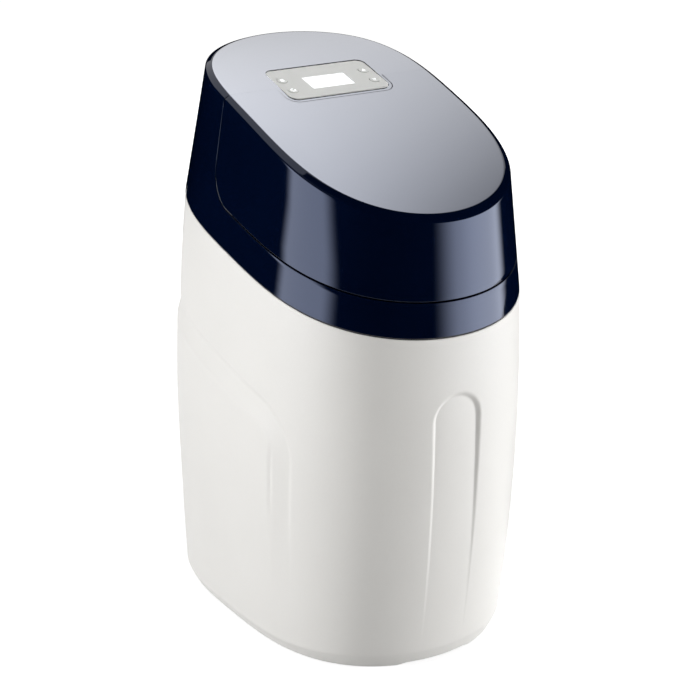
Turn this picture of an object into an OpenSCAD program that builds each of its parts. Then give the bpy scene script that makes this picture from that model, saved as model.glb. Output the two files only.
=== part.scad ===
// Compact cabinet water softener: an ivory cabinet that holds the salt and the brine, a resin tank with its
// control valve at the back, and a navy sloping cover whose front half is the salt lid.
// Millimetres. +Z is up, the front faces -Y, and the origin is on the floor below the widest station.

/* [Cabinet] */
// Width of the cabinet at its rim
cabinet_w = 270; // [262:1:290]
// Reach of the rim forward of its widest station
front_reach = 188; // [182:1:200]
// Reach of the rim behind its widest station
back_reach = 179; // [176:1:190]
// Flatness of the rounded ends, where 2 is an ellipse
end_flat = 3.1; // [2.8:0.05:3.4]
// Height of the rim above the floor at the widest station
rim_h = 381; // [376:1:390]
// Rise of the rim towards the back per unit of depth
rim_slope = 0.23; // [0.2:0.005:0.25]
// Thickness of the cabinet wall
wall = 3.5; // [3:0.1:4.5]
// Thickness of the cabinet floor
floor_t = 8; // [7:0.5:10]
// How far the sides draw in at the floor
side_tuck = 4; // [2:0.25:6]
// How far the sides swell at mid height
side_belly = 5.8; // [4:0.2:8]
// How far the front draws in at the floor
front_tuck = 5; // [3:0.25:7]
// How far the front swells at mid height
front_belly = 9.2; // [8.6:0.2:11]
// How far the back draws in at the floor
back_tuck = 8; // [5:0.25:10]
// How far the back swells at mid height
back_belly = 13; // [10:0.5:15]
// Height of the chamfer round the foot
foot_h = 17; // [14:0.5:20]
// Inset of the chamfer round the foot
foot_in = 6.5; // [4:0.25:8]
// Height of the toe notch below the front
toe_h = 2.5; // [1.5:0.25:4]
// Width of the toe notch
toe_w = 90; // [70:1:110]

/* [Front recess and side relief] */
// Width of the arched recess at its floor
recess_w = 45; // [38:1:52]
// Height of the top of the arch
recess_top = 282; // [270:1:290]
// How far the top of the recess floor stands ahead of the rim
recess_ahead = 0.25; // [0:0.25:2]
// Forward lean of the recess floor towards the foot, in degrees
recess_lean = 0.8; // [0:0.1:1.2]
// Height that the raised lower panel stands out
relief = 2.5; // [1.5:0.1:4]
// Distance of the raised panel's upper edge below the rim
relief_drop = 98; // [85:1:110]
// Place of the raised panel's front edge ahead of the widest station
relief_ahead = 97; // [85:1:105]
// Backward slant of the raised panel's front edge
relief_slant = 0.14; // [0:0.01:0.2]
// Corner radius of the raised panel
relief_r = 34; // [24:1:40]
// Width of the soft step round the raised panel
relief_soft = 9; // [6:0.5:12]

/* [Cover] */
// Height of the top above the rim at the widest station
cover_rise = 131; // [126:1:138]
// Slope of the top at the widest station
top_slope = 0.3; // [0.28:0.005:0.31]
// Radius of the top's curve from front to back
top_r = 1320; // [1200:10:1600]
// Inward lean of the front and side walls per unit of height
side_draft = 0.13; // [0.11:0.005:0.15]
// Inward lean of the back wall per unit of height
back_draft = 0.2; // [0.17:0.005:0.21]
// Width of the bevel round the top
bevel_w = 6; // [5:0.25:7]
// Drop of the bevel round the top
bevel_drop = 3.2; // [2.5:0.1:4]
// Thickness of the cover and the lid
cover_t = 3; // [2.5:0.1:3.2]
// Depth of the locating lip inside the cabinet rim
lip_h = 10; // [6:1:12]
// Place of the lid's rear seam behind the widest station
seam_y = 40; // [38:0.5:42]
// Rise of the lid's lower seam above the rim
seam_rise = 36.5; // [32:0.5:40]
// Corner radius of the seam
seam_r = 38; // [28:1:42]
// Gap between the lid and the fixed cover
seam_gap = 0.9; // [0.8:0.05:1.2]

/* [Lid hinge] */
// Place of the hinge axis behind the rear seam
axis_set = 36; // [34:0.5:38]
// Depth of the hinge axis below the top
axis_drop = 9.6; // [9.5:0.1:10.5]
// Radius of the hinge pins
pin_r = 2.5; // [2:0.1:2.5]
// Distance of each hinge arm from the middle
arm_x = 79; // [77:0.5:82]
// Thickness of each hinge arm
arm_t = 6; // [5:0.5:7]
// Width of the arm's bar
arm_w = 8; // [7:0.5:9]
// Depth of the arm's bend below the axis
arm_bend = 50; // [46:1:52]
// Reach of the arm's foot ahead of the axis
arm_reach = 54; // [52:0.5:56]

/* [Control panel] */
// Width of the panel
panel_w = 113; // [108:0.5:116]
// Depth of the panel along the slope
panel_d = 58; // [55:0.5:60]
// Place of the panel's middle behind the widest station
panel_y = 44.8; // [44:0.1:46]
// Corner radius of the panel
panel_r = 9; // [7:0.5:11]
// Thickness of the panel plate
panel_t = 4.8; // [4.6:0.1:5.4]
// How much flatter than the cover the panel lies, in degrees, so that its front edge stands proud
panel_flatter = 1.5; // [0:0.25:2]
// Width of the cover's border in front of and beside the panel
tongue_border = 4; // [3.5:0.25:5]
// Width of the display window
display_w = 48; // [42:0.5:52]
// Depth of the display window
display_d = 24; // [20:0.5:27]
// Radius of the round keys
key_r = 5; // [4:0.25:6]
// Distance of the keys from the middle
key_x = 46.5; // [43:0.25:47]
// Spacing of the keys from front to back
key_pitch = 20.5; // [18:0.5:23]
// Travel of each key
key_travel = 0.6; // [0.4:0.1:1]

/* [Resin tank and valve] */
// Outer radius of the resin tank
tank_r = 76; // [70:0.5:78]
// Place of the tank's axis behind the widest station
tank_y = 86; // [84:0.5:88]
// Depth of the tank's neck top below the ports
neck_drop = 60; // [58:0.5:62]
// Wall of the resin tank
tank_wall = 3.5; // [3:0.1:5]
// Radius of the tank's neck
neck_r = 31; // [28:0.5:33]
// Radius of the riser tube
riser_r = 13; // [11:0.5:14]
// Height of the resin bed's surface
bed_h = 275; // [240:1:285]
// Radius of the inlet and outlet threads, a three-quarter inch pipe thread
port_r = 13.2; // [12:0.1:13.5]
// Distance of each port from the middle
port_x = 34; // [33:0.5:36]
// Height of the ports above the cabinet's rim at the back
port_rise = 30; // [29:0.5:32]
// Exposed length of each port's thread
port_len = 20; // [16:0.5:22]

/* [Valve drive] */
// Module of the gear teeth
gear_module = 1.5; // [1.4:0.05:1.6]
// Teeth on the drive gear
gear_teeth = 48; // [44:4:52]
// Teeth on the motor pinion
pinion_teeth = 12; // [12:4:16]
// Thickness of the gears
gear_t = 8; // [6:0.5:9]
// Radius of the drive gear's spindle
spindle_r = 5; // [4:0.25:6]
// Radius of the motor shaft
shaft_r = 2.5; // [2:0.1:3]

/* [Brine well] */
// Outer radius of the brine well
well_r = 36; // [35:0.5:38]
// Gap between the well and the cabinet's rim at the side
well_gap = 11; // [9:0.5:13]
// Place of the well ahead of the widest station
well_y = 12; // [10:0.5:14]
// Depth of the well's rim below the cabinet's rim
well_drop = 31; // [26:1:50]
// Radius of the float
float_r = 16; // [14:0.5:17]
// Travel of the float
float_travel = 18; // [12:1:22]
// Radius of the float rod
rod_r = 3; // [2.5:0.1:3.5]
// Radius of the brine line
line_r = 4.75; // [4:0.25:5]
// Height of the salt grid
grid_h = 58; // [50:1:64]
// Thickness of the salt grid
grid_t = 4; // [3:0.5:6]

/* [Hidden] */
$fn = 64;

// Clearances
run_gap = 0.05;
slip_gap = 0.3;
far = 400;

// Plan of the cabinet: an oval with flattened ends, worked out at stations round it
half_w = cabinet_w / 2;
relief_front = -relief_ahead;
end_steps = 16;
side_steps = 6;
soft_steps = 3;
corner_steps = 3;
end_share = 0.66;

function station(y, reach) = asin(pow(abs(y) / reach, end_flat / 2));
front_end = station(end_share * front_reach, front_reach);
back_end = station(end_share * back_reach, back_reach);
relief_back = relief_front + relief_r;
front_sides = concat(
    [for (k = [0 : 1]) -end_share * front_reach + (relief_front + end_share * front_reach) * (k + 1) / 3],
    [for (k = [0 : soft_steps]) relief_front + relief_soft * k / soft_steps],
    [for (k = [1 : corner_steps]) relief_front + relief_soft + (relief_r - relief_soft) * k / corner_steps],
    [for (k = [1 : side_steps - 1]) relief_back * (1 - k / side_steps)]);
front_quarter = concat(
    [for (k = [0 : end_steps]) 90 - (90 - front_end) * k / end_steps],
    [for (y = front_sides) station(y, front_reach)]);
back_quarter = concat(
    [for (k = [0 : side_steps - 1]) station(end_share * back_reach * k / side_steps, back_reach)],
    [for (k = [0 : end_steps - 1]) back_end + (90 - back_end) * k / end_steps]);
last_front = len(front_quarter) - 1;
last_back = len(back_quarter) - 1;
around = concat(
    [for (a = front_quarter) -a],
    back_quarter,
    [90],
    [for (k = [last_back : -1 : 0]) 180 - back_quarter[k]],
    [for (k = [last_front : -1 : 1]) 180 + front_quarter[k]]);

function on_rim(a) =
    let (reach = sin(a) < 0 ? front_reach : back_reach)
    [half_w * cos(a), sign(sin(a)) * reach * pow(abs(sin(a)), 2 / end_flat)];
function outward(p) =
    let (reach = p.y < 0 ? front_reach : back_reach,
         g = [2 * p.x / pow(half_w, 2), end_flat * sign(p.y) * pow(abs(p.y) / reach, end_flat - 1) / reach])
    g / norm(g);
// Each station keeps its point on the rim outline, the direction that it faces and the height of the rim there
spots = [for (a = around) let (p = on_rim(a)) [p, outward(p), rim_h + rim_slope * p.y]];
function plan(s, off) = s[0] + off * s[1];
function blend(s, side, ends) = side + (ends - side) * pow(s[1].y, 2);
function smooth(t) = let (u = max(0, min(1, t))) u * u * (3 - 2 * u);

// Swell of the cabinet wall past the rim outline, from 0 at the rim to 1 at the floor
function swell(tuck, belly, t) = 4 * belly * t * (1 - t) - tuck * t;
function body_off(s, z) =
    let (t = (s[2] - z) / s[2],
         ends = s[1].y < 0 ? swell(front_tuck, front_belly, t) : swell(back_tuck, back_belly, t))
    blend(s, swell(side_tuck, side_belly, t), ends);
function foot_off(s, z) = body_off(s, max(z, foot_h)) - foot_in * max(0, foot_h - z) / foot_h;

// Raised lower panel with a rounded upper front corner
function relief_inside(s, y, z) =
    let (v = s[2] - relief_drop - z,
         u = y - relief_front - relief_slant * max(0, v - relief_r))
    u < relief_r && v < relief_r ? relief_r - norm([relief_r - u, relief_r - v]) : min(u, v);
function outer_off(s, z) =
    let (off = body_off(s, z))
    off + relief * smooth(relief_inside(s, plan(s, off).y, z) / relief_soft);

// Rings of the cabinet, up the outside, over the rim and down the inside
lower_steps = 8;
upper_steps = 3;
function outer_heights(rim) =
    let (edge = rim - relief_drop, mid = edge - relief_soft, low = edge - relief_r)
    concat([for (k = [0 : lower_steps - 1]) foot_h + (low - foot_h) * k / lower_steps],
        [for (k = [0 : corner_steps - 1]) low + (mid - low) * k / corner_steps],
        [for (k = [0 : soft_steps - 1]) mid + relief_soft * k / soft_steps],
        [for (k = [0 : upper_steps]) edge + relief_drop * k / upper_steps]);
inner_steps = 8;
recess_y = -(front_reach + recess_ahead);
pocket_y = recess_y + wall;
pocket_blend = 30;
function pocketed(p) =
    let (near = p.y < 0 ? smooth(1 - (abs(p.x) - recess_w / 2 - wall) / pocket_blend) : 0)
    [p.x, p.y + near * max(0, pocket_y - p.y)];
outer_count = lower_steps + corner_steps + soft_steps + upper_steps + 1;
cabinet_rings = concat(
    [[for (s = spots) let (p = plan(s, foot_off(s, 0))) [p.x, p.y, 0]]],
    [for (k = [0 : outer_count - 1]) [for (s = spots)
        let (z = outer_heights(s[2])[k], p = plan(s, outer_off(s, z))) [p.x, p.y, z]]],
    [for (k = [0 : inner_steps]) [for (s = spots)
        let (z = s[2] + (floor_t - s[2]) * k / inner_steps, p = pocketed(plan(s, foot_off(s, z) - wall)))
        [p.x, p.y, z]]]);

// Closed solid through a stack of rings that are symmetric about X, with strips across both ends
module loft(rings) {
    n = len(rings[0]);
    last = (len(rings) - 1) * n;
    points = [for (r = rings) for (p = r) p];
    walls = [for (k = [0 : len(rings) - 2]) for (i = [0 : n - 1])
        let (j = (i + 1) % n, a = k * n, b = a + n)
        each [[a + i, b + i, b + j], [a + i, b + j, a + j]]];
    strips = [for (i = [1 : n / 2 - 2]) [i, i + 1, n - i - 1, n - i]];
    caps = concat([[0, 1, n - 1], [n / 2 - 1, n / 2, n / 2 + 1]],
        [for (q = strips) each [[q[0], q[1], q[2]], [q[0], q[2], q[3]]]]);
    polyhedron(points, concat(walls, caps, [for (c = caps) [c[2] + last, c[1] + last, c[0] + last]]));
}

// Curved sloping top and drafted walls of the cover
top_mid = rim_h + cover_rise;
function top_z(y) = top_mid + top_slope * y - y * y / (2 * top_r);
function top_tilt(y) = atan(top_slope - y / top_r);
function lean(s) = s[1].y < 0 ? side_draft : blend(s, side_draft, back_draft);
function cover_plan(s, z, inset) = plan(s, -lean(s) * max(0, z - s[2]) - inset);
function edge_z(s, inset, drop, z = top_mid, rounds = 6) =
    rounds == 0 ? z : edge_z(s, inset, drop, top_z(cover_plan(s, z, inset).y) - drop, rounds - 1);
function edge_ring(inset, drop) = [for (s = spots)
    let (z = edge_z(s, inset, drop), p = cover_plan(s, z, inset)) [p.x, p.y, z]];
function crown_ring(inset, drop) = [for (s = spots)
    let (z = edge_z(s, inset, drop), p = cover_plan(s, z, inset + bevel_w))
    [p.x, p.y, top_z(p.y) - drop + bevel_drop]];
function cover_ring(rise, inset) = [for (s = spots)
    let (p = cover_plan(s, s[2] + rise, inset)) [p.x, p.y, s[2] + rise]];
lip_out = wall + slip_gap;
lip_in = lip_out + 2.2;
cover_rings = [
    crown_ring(cover_t, bevel_drop + cover_t),
    edge_ring(cover_t, bevel_drop + cover_t),
    cover_ring(lip_h, cover_t),
    cover_ring(0, lip_in),
    cover_ring(-lip_h, lip_in),
    cover_ring(-lip_h, lip_out),
    cover_ring(slip_gap, lip_out),
    cover_ring(slip_gap, 0),
    edge_ring(0, bevel_drop),
    crown_ring(0, bevel_drop)];

// Hinge axis of the lid, places on the panel and heights of the valve
axis_y = seam_y + axis_set;
axis_z = top_z(axis_y) - axis_drop;
panel_tilt = top_tilt(panel_y) - panel_flatter;
panel_z = top_z(panel_y);
tongue_w = panel_w + 2 * tongue_border;
tongue_front = panel_y - (panel_d / 2 + tongue_border) * cos(panel_tilt);
board_drop = 14;
board_t = 1.6;
flange = 2.5;
flange_t = 1.5;
key_shift = -2.4;
key_proud = 0.5;
key_skirt = 1.2;
switch_h = 3.5;
port_opening_w = 116;
port_opening_h = 42;
port_plate_w = port_opening_w + 6;
port_plate_h = port_opening_h + 4;
// Inner face of the cover's back wall at a place across and up
function cover_back(x, z) =
    let (off = -back_draft * (z - back_rim) - cover_t)
    (back_reach + off) * pow(1 - pow(x / (half_w + off), 2), 1 / end_flat);
back_rim = rim_h + rim_slope * back_reach;
port_z = back_rim + port_rise;
tank_top = port_z - neck_drop;
valve_top = tank_top + 74;
plate_t = 3;
plate_y = cover_back(port_plate_w / 2, port_z + port_plate_h / 2) - plate_t;
gear_r = gear_module * gear_teeth / 2;
pinion_r = gear_module * pinion_teeth / 2;
motor_y = tank_y - gear_r - pinion_r;
can_r = 18;
deck_t = 4;
gear_z = valve_top + deck_t + 3;
well_x = half_w - well_r - well_gap;
well_h = rim_h - well_drop;
line_set = 25;
line_x = line_set - well_x;
line_run_z = tank_top + 43;
line_bend = 20;
valve_seat_z = 128;

module across(w) {
    rotate([90, 0, 90]) translate([0, 0, -w / 2]) linear_extrude(w) children();
}
module along_y(r, from, to) {
    translate([0, from, 0]) rotate([-90, 0, 0]) cylinder(r = r, h = to - from);
}
module rounded(w, d, r) {
    square([w - 2 * r, d], center = true);
    square([w, d - 2 * r], center = true);
    for (sx = [-1, 1], sy = [-1, 1]) translate([sx * (w / 2 - r), sy * (d / 2 - r)]) circle(r);
}
module tube(r, h) {
    bore = r - 1.5;
    difference() {
        cylinder(r = r, h = h);
        translate([0, 0, -1]) cylinder(r = bore, h = h + 2);
    }
}
// Frame of the panel: its top face at z = 0, tilted with the top of the cover
module on_panel() {
    translate([0, panel_y, panel_z]) rotate([panel_tilt, 0, 0]) children();
}

// Ivory moulded cabinet that is also the brine tank
overflow_x = 62;
overflow_z = back_rim - 70;
overflow_r = 9;
module arch(w, top, bottom) {
    translate([-w / 2, bottom]) square([w, top - bottom - w / 2]);
    translate([0, top - w / 2]) circle(w / 2, $fn = 40);
}
module recess_cut() {
    depth = 30;
    low = foot_h - recess_top;
    translate([0, recess_y, recess_top]) rotate([-recess_lean, 0, 0]) hull() {
        rotate([90, 0, 0]) linear_extrude(0.01) arch(recess_w, 0, low);
        translate([0, -depth, 0]) rotate([90, 0, 0]) linear_extrude(0.01) arch(recess_w + 2 * depth, depth, low);
    }
}
module toe_cut() {
    slope = 10;
    translate([0, -front_reach / 2, 0]) rotate([90, 0, 0]) linear_extrude(far)
        polygon([[-toe_w / 2, -1], [toe_w / 2, -1], [toe_w / 2 - slope, toe_h], [slope - toe_w / 2, toe_h]]);
}
module cabinet() {
    color("ivory") difference() {
        loft(cabinet_rings);
        recess_cut();
        toe_cut();
        translate([overflow_x, 0, overflow_z]) along_y(overflow_r + slip_gap, back_reach / 2, far);
    }
}

// Navy cover in two pieces: the fixed rear cover with its ring and tongue, and the salt lid
module lid_side(grow) {
    turn = atan(rim_slope);
    y = seam_y + grow;
    low = rim_h + seam_rise - grow / cos(turn);
    centre = [y - seam_r, low + rim_slope * (y - seam_r) + seam_r / cos(turn)];
    polygon([[-far, low - rim_slope * far], centre + seam_r * [sin(turn), -cos(turn)], [y, centre.y],
        [y, 2 * far], [-far, 2 * far]]);
    translate(centre) circle(seam_r);
}
module tongue_zone(grow) {
    translate([0, tongue_front - grow + far / 2, top_mid - 60]) linear_extrude(far)
        rounded(tongue_w + 2 * grow, far, panel_r + tongue_border + grow);
}
module lid_zone(grow) {
    difference() {
        across(2 * far) lid_side(grow);
        tongue_zone(-grow);
    }
}
module rear_cover() {
    color([0.02, 0.03, 0.1]) difference() {
        loft(cover_rings);
        lid_zone(seam_gap / 2);
        on_panel() translate([0, 0, -20]) linear_extrude(40)
            rounded(panel_w + 2 * slip_gap, panel_d + 2 * slip_gap, panel_r + slip_gap);
        translate([0, back_reach / 2, port_z]) rotate([-90, 0, 0]) linear_extrude(far)
            rounded(port_opening_w, port_opening_h, 10);
    }
}
module salt_lid() {
    color([0.02, 0.03, 0.1]) intersection() {
        loft(cover_rings);
        lid_zone(-seam_gap / 2);
    }
}

// Two hinge brackets below the rear cover, their pins, and the bent arms of the lid
bracket_t = 3;
bracket_len = 24;
bracket_gap = arm_t + 2 * slip_gap;
eye_r = pin_r + 3;
module hinge_brackets() {
    color("dimgray") for (side = [-1, 1]) translate([side * arm_x, axis_y, axis_z]) difference() {
        union() {
            for (cheek = [-1, 1]) translate([cheek * (bracket_gap + bracket_t) / 2, 0, 0]) across(bracket_t) {
                circle(eye_r);
                rotate(top_tilt(axis_y)) translate([-eye_r, 0]) square([2 * eye_r, eye_r]);
            }
            translate([0, 0, axis_drop - cover_t - slip_gap]) rotate([top_tilt(axis_y), 0, 0])
                translate([-bracket_gap / 2 - bracket_t, -eye_r, -2]) cube([bracket_gap + 2 * bracket_t, bracket_len, 2]);
        }
        across(far) circle(pin_r);
        across(bracket_gap) circle(eye_r + slip_gap);
    }
}
module hinge_pins() {
    color("silver") for (side = [-1, 1]) translate([side * arm_x, axis_y, axis_z])
        across(bracket_gap + 2 * bracket_t + 1) circle(pin_r);
}
module arm_profile() {
    half = arm_w / 2;
    foot_top = top_z(axis_y - arm_reach) - axis_z - cover_t - slip_gap;
    difference() {
        union() {
            circle(eye_r);
            translate([-half, -arm_bend]) square([arm_w, arm_bend]);
            translate([-arm_reach, -arm_bend - half]) square([arm_reach, arm_w]);
            translate([-arm_reach - half, -arm_bend]) square([arm_w, arm_bend + foot_top - 2]);
            for (y = [0, -arm_reach]) translate([y, -arm_bend]) circle(half);
        }
        circle(pin_r + run_gap);
    }
}
module lid_arms() {
    foot_y = axis_y - arm_reach;
    color("dimgray") for (side = [-1, 1]) translate([side * arm_x, 0, 0]) {
        translate([0, axis_y, axis_z]) across(arm_t) arm_profile();
        translate([0, foot_y, top_z(foot_y) - cover_t - slip_gap]) rotate([top_tilt(foot_y), 0, 0])
            translate([-arm_t, -arm_w, -2.5]) cube([2 * arm_t, 2 * arm_w, 2.5]);
    }
}

// Grey control panel with its display, four keys and circuit board
module key_places() {
    for (place = [[-1, 1], [-1, -1], [1, 1], [1, -1]])
        translate([place.x * key_x, key_shift + place.y * key_pitch / 2, 0]) children();
}
module control_panel() {
    post = 2.5;
    color("gainsboro") on_panel() difference() {
        union() {
            translate([0, 0, -panel_t]) linear_extrude(panel_t) rounded(panel_w, panel_d, panel_r);
            translate([0, 0, -panel_t - flange_t]) linear_extrude(flange_t)
                rounded(panel_w + 2 * flange, panel_d + 2 * flange, panel_r + flange);
            for (sx = [-1, 1], sy = [-1, 1])
                translate([sx * (panel_w / 2 - 2 * post), sy * (panel_d / 2 - 2 * post), -board_drop])
                cylinder(r = post, h = board_drop - panel_t);
        }
        translate([0, key_shift, -20]) linear_extrude(40) rounded(display_w, display_d, 1.5);
        key_places() translate([0, 0, -20]) cylinder(r = key_r + slip_gap, h = 40);
    }
}
module display_window() {
    color("white") on_panel() translate([0, key_shift, 0]) {
        translate([0, 0, -2]) linear_extrude(1.7) rounded(display_w - 0.2, display_d - 0.2, 1.4);
        translate([0, 0, -board_drop]) linear_extrude(board_drop - 2) rounded(display_w - 4, display_d - 4, 1);
    }
}
module key(place) {
    stem = board_drop - switch_h - key_travel - slip_gap;
    color("whitesmoke") on_panel() translate([place.x * key_x, key_shift + place.y * key_pitch / 2, 0]) {
        translate([0, 0, -panel_t]) cylinder(r = key_r, h = panel_t + key_proud);
        translate([0, 0, -panel_t - flange_t - key_skirt]) cylinder(r = key_r - 1, h = key_skirt + flange_t + 1);
        translate([0, 0, -stem]) cylinder(r = 2, h = stem);
    }
}
module menu_key() { key([-1, 1]); }
module regen_key() { key([-1, -1]); }
module up_key() { key([1, 1]); }
module down_key() { key([1, -1]); }
module circuit_board() {
    color("darkgreen") on_panel() translate([0, 0, -board_drop - board_t]) {
        linear_extrude(board_t) rounded(panel_w - 4, panel_d - 4, 3);
        key_places() translate([-3, -3, board_t]) cube([6, 6, switch_h]);
        translate([-20, -20, -6]) cube([40, 10, 6]);
        translate([-36, 6, -8]) cube([18, 12, 8]);
    }
}

// Wound resin tank with a boot below and its strainers and resin inside
tank_base = floor_t + 6;
dome_h = 52;
shoulder = tank_top - 14;
strainer_wall = 7;
strainer_h = 40;
strainer_z = tank_base + tank_wall + 2;
function dome(r, h, z, up) = [for (k = [0 : 8])
    let (a = 90 * k / 8) up ? [r * cos(a), z + h * sin(a)] : [r * sin(a), z - h * cos(a)]];
module tank_profile(inset) {
    r = tank_r - inset;
    h = dome_h - inset;
    polygon(concat(dome(r, h, tank_base + dome_h, false), dome(r, h, shoulder - dome_h, true)));
}
module revolve_tank() {
    translate([0, tank_y, 0]) rotate_extrude() intersection() {
        children();
        square([far, 2 * far]);
    }
}
module resin_tank() {
    color("steelblue") revolve_tank() difference() {
        union() {
            tank_profile(0);
            translate([0, shoulder - 20]) square([neck_r, tank_top - shoulder + 20]);
        }
        tank_profile(tank_wall);
        square([neck_r - 5, far]);
    }
}
module tank_boot() {
    boot_h = 46;
    boot_in = 36;
    boot_w = 34;
    color([0.1, 0.1, 0.1]) revolve_tank() difference() {
        translate([tank_r - boot_in, floor_t]) square([boot_w, boot_h]);
        tank_profile(-slip_gap);
    }
}
module riser_tube() {
    color("white") revolve_tank() translate([riser_r - 2, strainer_z + 3]) square([2, tank_top + 20 - strainer_z]);
}
module lower_strainer() {
    color("white") revolve_tank() difference() {
        translate([0, strainer_z]) square([riser_r + strainer_wall, strainer_h]);
        translate([0, strainer_z + 3]) square([riser_r + run_gap, far]);
    }
}
module upper_strainer() {
    color("white") revolve_tank() translate([riser_r + run_gap, tank_top - 60])
        square([neck_r - 5 - slip_gap - riser_r, 60]);
}
module resin_bed() {
    color("peru") revolve_tank() difference() {
        tank_profile(tank_wall + slip_gap);
        translate([0, bed_h]) square([far, far]);
        square([riser_r + slip_gap, far]);
        square([riser_r + strainer_wall + slip_gap, strainer_z + strainer_h + slip_gap]);
    }
}

// Control valve on the tank's neck, with a manifold towards the back and a deck for the drive
module valve_body() {
    manifold_w = 2 * port_x + 36;
    manifold_h = 34;
    head_r = tank_y - motor_y - can_r - 1;
    line_end = tank_y - 20;
    color([0.12, 0.12, 0.13]) difference() {
        union() {
            translate([0, tank_y, tank_top]) {
                cylinder(r = neck_r + 14, h = 12);
                cylinder(r = head_r, h = valve_top + deck_t - tank_top);
            }
            translate([-manifold_w / 2, tank_y, port_z - manifold_h / 2]) cube([manifold_w, plate_y - tank_y, manifold_h]);
            translate([-22, motor_y - 22, valve_top]) cube([44, tank_y - motor_y + 22, deck_t]);
            translate([line_x, 0, line_run_z]) along_y(line_r + 3, line_end, tank_y + 8);
            translate([line_x - 4, tank_y - 6, line_run_z - 7]) cube([-line_x, 14, 14]);
        }
        translate([0, tank_y, tank_top - 1]) cylinder(r = riser_r + slip_gap, h = 30);
        translate([0, tank_y, valve_top - 14]) cylinder(r = spindle_r + run_gap, h = 40);
        translate([0, motor_y, valve_top - 1]) cylinder(r = shaft_r + 1.5, h = deck_t + 2);
        for (x = [-port_x, port_x]) translate([x, 0, port_z]) along_y(port_r - 4, plate_y - 20, plate_y + 1);
        translate([0, 0, port_z]) along_y(4, plate_y - 20, plate_y + 1);
    }
}
drain_r = 6.5;
socket_r = 5;
socket_z = 14;
module port_plate() {
    color("dimgray") translate([0, plate_y, port_z]) difference() {
        rotate([-90, 0, 0]) linear_extrude(plate_t) rounded(port_plate_w, port_plate_h, 8);
        for (x = [-port_x, port_x]) translate([x, 0, 0]) along_y(port_r - 3, -1, plate_t + 1);
        along_y(4, -1, plate_t + 1);
    }
}
module connector() {
    collar = 8;
    translate([0, plate_y + plate_t, port_z]) difference() {
        union() {
            rotate([-90, 0, 0]) cylinder(r = port_r + 4, h = collar, $fn = 6);
            along_y(port_r, collar, collar + port_len);
        }
        along_y(port_r - 4, -1, collar + port_len + 1);
    }
}
module inlet_connector() { color("goldenrod") translate([port_x, 0, 0]) connector(); }
module outlet_connector() { color("goldenrod") translate([-port_x, 0, 0]) connector(); }
module drain_tail() {
    collar = 5;
    barbs = 3;
    color("white") translate([0, plate_y + plate_t, port_z - 5]) difference() {
        union() {
            along_y(drain_r + 2, 0, collar);
            along_y(drain_r, collar, collar + port_len);
            for (k = [1 : barbs]) translate([0, collar + port_len * k / barbs, 0]) rotate([90, 0, 0])
                cylinder(r1 = drain_r, r2 = drain_r + 0.8, h = 4);
        }
        along_y(drain_r - 2.5, -1, far);
    }
}
module power_socket() {
    color([0.08, 0.08, 0.08]) translate([0, plate_y + plate_t, port_z + socket_z]) difference() {
        along_y(socket_r, 0, 6);
        along_y(3, 1, far);
    }
}
module plate_screws() {
    head_r = 3;
    inset = 2 * head_r;
    color("silver") for (sx = [-1, 1], sz = [-1, 1])
        translate([sx * (port_opening_w / 2 - inset), plate_y + plate_t, port_z + sz * (port_opening_h / 2 - inset)])
        along_y(head_r, 0, 2.4);
}

// Gear drive of the valve: a motor below the deck, its pinion and the drive gear
function tooth(n, k, r, w) = let (a = 360 * (k + w) / n) [r * cos(a), r * sin(a)];
module gear_shape(n, phase) {
    pitch = gear_module * n / 2;
    root = pitch - 1.2 * gear_module;
    tip = pitch + 0.9 * gear_module;
    polygon([for (k = [0 : n - 1]) each [
        tooth(n, k + phase, root, -0.34),
        tooth(n, k + phase, pitch, -0.235),
        tooth(n, k + phase, tip, -0.11),
        tooth(n, k + phase, tip, 0.11),
        tooth(n, k + phase, pitch, 0.235),
        tooth(n, k + phase, root, 0.34)]]);
}
module drive_gear() {
    spokes = 6;
    low = valve_top - 13;
    color("white") translate([0, tank_y, 0]) difference() {
        union() {
            translate([0, 0, gear_z]) linear_extrude(gear_t) gear_shape(gear_teeth, gear_teeth / 4);
            translate([0, 0, low]) cylinder(r = spindle_r, h = gear_z + gear_t + 3 - low);
            translate([0, 0, gear_z]) cylinder(r = spindle_r + 5, h = gear_t + 1.5);
        }
        for (k = [0 : spokes - 1]) rotate(360 * k / spokes) translate([(gear_r + spindle_r) / 2 + 1, 0, gear_z - 1])
            cylinder(r = gear_r * 0.19, h = gear_t + 4);
    }
}
module motor_pinion() {
    low = valve_top - 12;
    color("gold") translate([0, motor_y, 0]) {
        translate([0, 0, gear_z]) linear_extrude(gear_t) gear_shape(pinion_teeth, pinion_teeth / 4 + 0.5);
        translate([0, 0, low]) cylinder(r = shaft_r, h = gear_z + gear_t + 1 - low);
    }
}
module drive_motor() {
    can_h = 28;
    color("silver") translate([0, motor_y, valve_top]) difference() {
        union() {
            translate([0, 0, -can_h]) cylinder(r = can_r, h = can_h);
            for (sx = [-1, 1]) translate([sx * can_r - 4, -5, -2]) cube([8, 10, 2]);
        }
        translate([0, 0, -13]) cylinder(r = shaft_r + run_gap, h = 20);
    }
}

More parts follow.
